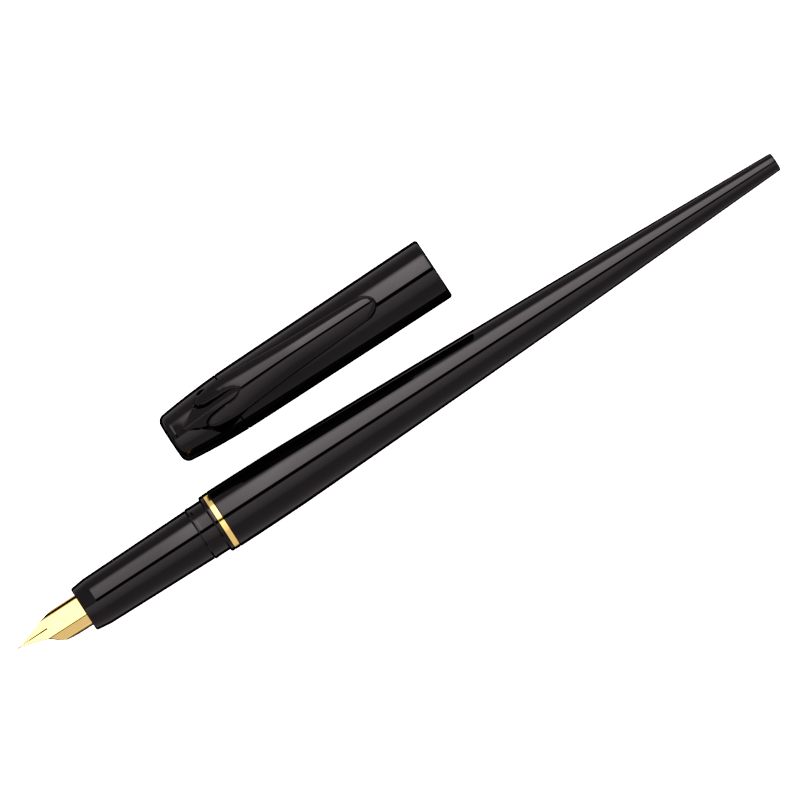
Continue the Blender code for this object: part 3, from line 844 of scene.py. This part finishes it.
def clip_top(x, y):
    """The height of the clip's face: a gable on the arrowhead and the leaf, a round-edged dome elsewhere."""
    inner, outer = inner_half(x), clip_half(x)
    if x < SHOULDER or abs(y) < inner and x < LEAF_END:
        return ridge_height(x) - ridge_slope(x) * (math.hypot(y, RIDGE_ROUND) - RIDGE_ROUND)
    half, edge = tongue_half(max(x, LOBE_FULL)), edge_height(x)
    rise = crest_height(x) - edge
    shift = CREST_SHIFT * smooth_step((x - SHOULDER) / CREST_RUN)
    side = (y - shift * (1 - (y / half) ** 2)) / half
    height = edge + rise * (1 - side * side) - SIDE_ROUND * drop(outer - abs(y), SIDE_ROUND)
    if x < LEAF_END:
        rim = edge + rise * (1 - (inner / half) ** 2)
        leaf = ridge_height(x) - ridge_slope(x) * inner
        slant = WALL_SLANT + (1 - WALL_SLANT) * smooth_step((x - SHOULDER) / WALL_RUN)
        height -= max(0.0, rim - leaf) * drop((abs(y) - inner) * slant, LOBE_ROUND)
    if x < LOBE_FULL + NOSE_BACK:
        front = smooth_step((LOBE_FULL + NOSE_BACK - x) / NOSE_RUN)
        height -= NOSE_DROP * front * drop((outer - abs(y)) * NOSE_SLANT, LOBE_ROUND)
    if x > END_START - END_LEAD:
        reach = math.hypot(max(0.0, x - END_START) / (CLIP_END - END_START), y / half)
        fade = smooth_step((x - END_START + END_LEAD) / END_RUN)
        height -= END_DROP * fade * drop((1 - reach) * END_SPREAD, END_ROUND)
    return height


def across(x):
    """Columns from the middle to the edge, closest together at the wall of the leaf."""
    outer = clip_half(x)
    inner = min(max(inner_half(x), outer * 0.3 * smooth_step((x - LEAF_END) / 8), 0.06), outer * 0.9)
    wall = min(0.5 * (outer - inner), WALL_WIDTH)
    lobe = outer - inner - wall
    ys = [inner * step / LEAF_COLUMNS for step in range(1, LEAF_COLUMNS + 1)]
    ys += [inner + wall * (step / WALL_COLUMNS) ** 1.5 for step in range(1, WALL_COLUMNS + 1)]
    turns = [math.pi / 2 * step / LOBE_COLUMNS for step in range(1, LOBE_COLUMNS + 1)]
    return ys + [inner + wall + lobe * math.sin(turn) for turn in turns]


def clip_stations():
    """Distances along the cap, closest together at the shoulder and at the round end."""
    stations = list(np.linspace(CLIP_START, SHOULDER - 0.02, SPEAR_STATIONS))
    lobe, end = LOBE_FULL - SHOULDER, CLIP_END - END_START
    stations += [SHOULDER + lobe * (step / LOBE_STATIONS) ** 2 for step in range(LOBE_STATIONS)]
    stations += list(np.linspace(LOBE_FULL, LEAF_END, LEAF_STATIONS, endpoint=False))
    stations += list(np.linspace(LEAF_END, END_START, TONGUE_STATIONS, endpoint=False))
    turns = [math.pi / 2 * step / END_STATIONS for step in range(END_STATIONS + 1)]
    return stations + [END_START + end * math.sin(turn) for turn in turns]


def clip_side(start, end):
    """Points down or up a side of the clip, hollowed a little."""
    points = []
    for step in range(1, SIDE_ROWS):
        share = step / SIDE_ROWS
        bow = abs(SIDE_BOW * (start[2] - end[2]) * share * (1 - share))
        x, y, z = (a + (b - a) * share for a, b in zip(start, end))
        points.append((x, y, z - bow))
    return points


def clip_under(x):
    """Points across the underside, which lies on the cap in front and is flat behind the neck."""
    lean = smooth_step((x - CLIP_NECK[0]) / (CLIP_NECK[1] - CLIP_NECK[0]))
    foot = foot_half(x) * (1 - lean) + clip_half(x) * lean
    skin = float(np.interp(x, SKIN[:, 0], SKIN[:, 1])) + CLIP_GAP
    points = []
    for step in range(FOOT_COLUMNS + 1):
        y = foot * (1 - 2 * step / FOOT_COLUMNS)
        on_skin = math.sqrt(skin**2 - y * y)
        points.append((x, y, on_skin + (CLIP_UNDERSIDE - on_skin) * lean))
    return points


def make_clip():
    rings = []
    for x in clip_stations():
        ys = across(x)
        top = [(x, y, clip_top(x, y)) for y in [*(-y for y in ys[::-1]), 0.0, *ys]]
        under = clip_under(x)
        rings.append(top + clip_side(top[-1], under[0]) + under + clip_side(under[-1], top[0]))
    piece = lofted("pocket_clip_moulded", rings, CAP, CLIP_SHARP)
    dress(piece, "pocket_clip", "clip", GLOSS)


# Hidden pieces keep their CAD shape --------------------------------------------------

HIDDEN_FINISHES = {
    "converter_nipple": FEED,
    "converter_socket": FEED,
    "converter_tube": CLEAR,
    "converter_band": STEEL,
    "rod_guide": GREY,
    "knob_retainer": STEEL,
    "piston_seal": RUBBER,
    "piston_rod": GREY,
    "converter_knob": KNOB,
}


def finish_hidden():
    for node, material in HIDDEN_FINISHES.items():
        mesh = frame["nodes"][node].data
        mesh.materials.clear()
        mesh.materials.append(material)


# Studio, in metres -------------------------------------------------------------------

PEN_ANGLE = math.radians(32.9458)
VIEW_WIDTH = 0.1772
LENS = 400.0
SENSOR = 36.0
LOOK_AT = (0.00103, -0.00993, 0.0095)
FLOOR_HALF = 3.0
TENT_RADIUS = 0.6
TENT_LENGTH = 2.4
TENT_STEPS = 141
TENT_REACH = 150
TINT = (1.0, 0.94, 0.965)

# Brightness of the light tent by direction round the pen, in degrees from straight up and positive
# towards +Y. ROOM is as bright all along the tent. BOX is the soft box on the +Y side, and SLOT_FILL
# is the light in the dark slot beside it. BOX_ALONG and SLOT_ALONG give how much of each there is at
# a distance along the tent.
ROOM = (
    (-150, 0.0), (-134, 0.0), (-124, 0.75), (-100, 0.8), (-76, 0.78), (-46, 0.8), (-36, 1.1), (-12, 1.45),
    (-3.0, 1.5), (-1.8, 0.02), (7.6, 0.02), (8.6, 0.8), (70, 0.7), (92, 0.62), (112, 0.75), (127, 0.85),
    (133, 0.0), (150, 0.0),
)
BOX = ((8.0, 0.0), (9.0, 1.9), (14, 2.4), (48, 3.0), (56, 2.7), (68, 0.0))
BOX_ALONG = (
    (-0.186, 0.0), (-0.176, 0.4), (-0.15, 0.6), (-0.12, 0.64), (-0.03, 0.66), (0.01, 1.0), (0.05, 0.9),
    (0.24, 0.92), (0.34, 0.0),
)
SLOT_FILL = ((-3.0, 0.0), (-2.0, 0.7), (7.0, 0.7), (9.0, 0.0))
SLOT_ALONG = ((-0.186, 1.0), (-0.176, 0.6), (-0.15, 0.3), (-0.12, 0.0))

# The world's brightness by height, from 0 straight down to 1 straight up, and the tone curve's
# levels that differ from what comes in.
WORLD = ((0.0, 0.0), (0.4, 0.0), (0.48, 0.5), (0.5, 1.0), (0.57, 1.0), (0.68, 0.03))
TONE = ((0.02, 0.005), (0.035, 0.014), (0.055, 0.032), (0.09, 0.07), (0.14, 0.135), (0.25, 0.25))


def make_floor():
    corners = [(x * FLOOR_HALF, y * FLOOR_HALF, 0) for x, y in ((-1, -1), (1, -1), (1, 1), (-1, 1))]
    floor = mesh_object("floor", corners, [(0, 1, 2, 3)], Matrix.Identity(4))
    shader = Shader("floor_paper", Roughness=0.9, Specular_IOR_Level=0.0, Emission_Strength=0.95)
    tone = shader.ramp(shader.noise(40.0), [(0.3, (0.93, 0.93, 0.93)), (0.7, (0.95, 0.95, 0.95))])
    floor.data.materials.append(shader.use(Base_Color=tone, Emission_Color=tone))
    floor.visible_glossy = False


def tent_light():
    """The tent's light: the room, plus the box and the slot's fill over their parts of its length."""
    peak = max(value for _, value in ROOM + BOX)
    shader = Shader("light_tent", Roughness=1.0, Specular_IOR_Level=0.0, Emission_Strength=peak)
    shader.surface.inputs["Base Color"].default_value = (0.0, 0.0, 0.0, 1.0)
    split = shader.node("ShaderNodeSeparateXYZ", [("Vector", shader.coordinates)])
    angle = shader.add(split.outputs["Y"], split.outputs["Z"], "ARCTAN2")
    around = shader.spread(angle, math.radians(TENT_REACH))
    along = shader.spread(split.outputs["X"], TENT_LENGTH / 2)

    def levels(table):
        """Brightness by direction, as shares of the peak."""
        stops = [((at + TENT_REACH) / (2 * TENT_REACH), value / peak) for at, value in table]
        return shader.grey_ramp(around, stops)

    def shares(table):
        return shader.grey_ramp(along, [(x / TENT_LENGTH + 0.5, value) for x, value in table])

    box = shader.add(levels(BOX), shares(BOX_ALONG), "MULTIPLY")
    fill = shader.add(levels(SLOT_FILL), shares(SLOT_ALONG), "MULTIPLY")
    light = shader.add(shader.add(levels(ROOM), fill), box)
    tinted = shader.node("ShaderNodeVectorMath", [(0, light)])
    tinted.operation = "MULTIPLY"
    tinted.inputs[1].default_value = TINT
    return shader.use(Emission_Color=tinted.outputs[0])


def make_tent():
    """A curved canopy of soft light along the pen, with a dark slot overhead. The camera sees through it."""
    angles = np.radians(np.linspace(-TENT_REACH, TENT_REACH, TENT_STEPS))
    points = [
        (end, TENT_RADIUS * math.sin(angle), TENT_RADIUS * math.cos(angle))
        for end in (-TENT_LENGTH / 2, TENT_LENGTH / 2)
        for angle in angles
    ]
    faces = [(k, k + 1, TENT_STEPS + k + 1, TENT_STEPS + k) for k in range(TENT_STEPS - 1)]
    tent = mesh_object("light_tent", points, faces, Matrix.Identity(4))
    tent.data.materials.append(tent_light())
    tent.visible_camera = False
    tent.visible_shadow = False


def make_world():
    """Pale at the horizon, and dark below it and overhead, past the ends of the tent."""
    world = bpy.data.worlds.new("studio")
    world.use_nodes = True
    tree = world.node_tree
    split = tree.nodes.new("ShaderNodeSeparateXYZ")
    height = tree.nodes.new("ShaderNodeMapRange")
    height.inputs["From Min"].default_value = -1.0
    ramp = tree.nodes.new("ShaderNodeValToRGB")
    while len(ramp.color_ramp.elements) < len(WORLD):
        ramp.color_ramp.elements.new(0.5)
    for element, (place, value) in zip(ramp.color_ramp.elements, WORLD):
        element.position = place
        element.color = (value, value, value, 1.0)
    tree.links.new(tree.nodes.new("ShaderNodeTexCoord").outputs["Generated"], split.inputs[0])
    tree.links.new(split.outputs["Z"], height.inputs["Value"])
    tree.links.new(height.outputs[0], ramp.inputs[0])
    tree.links.new(ramp.outputs["Color"], tree.nodes["Background"].inputs["Color"])
    bpy.context.scene.world = world


def make_camera():
    """Straight above, turned so that the pen lies across the picture as it does in the photo."""
    data = bpy.data.cameras.new("camera")
    data.lens = LENS
    data.sensor_width = SENSOR
    data.clip_end = 50.0
    camera = bpy.data.objects.new("camera", data)
    bpy.context.scene.collection.objects.link(camera)
    camera.location = Vector(LOOK_AT) + Vector((0, 0, VIEW_WIDTH * LENS / SENSOR))
    camera.rotation_euler = (0, 0, -PEN_ANGLE)
    bpy.context.scene.camera = camera


def set_tone():
    """A plain print tone: highlights as they are, and the deepest shadows a little deeper."""
    view = bpy.context.scene.view_settings
    view.view_transform = "Standard"
    view.use_curve_mapping = True
    all_colours = view.curve_mapping.curves[3]
    for at, level in TONE:
        all_colours.points.new(at, level)
    view.curve_mapping.update()


make_barrel()
make_grip_section()
make_coupling()
make_trim_ring()
make_nib()
make_tipping()
make_feed()
make_crown()
make_cap_tube()
make_inner_cap()
make_clip()
finish_hidden()
make_floor()
make_tent()
make_world()
make_camera()
set_tone()
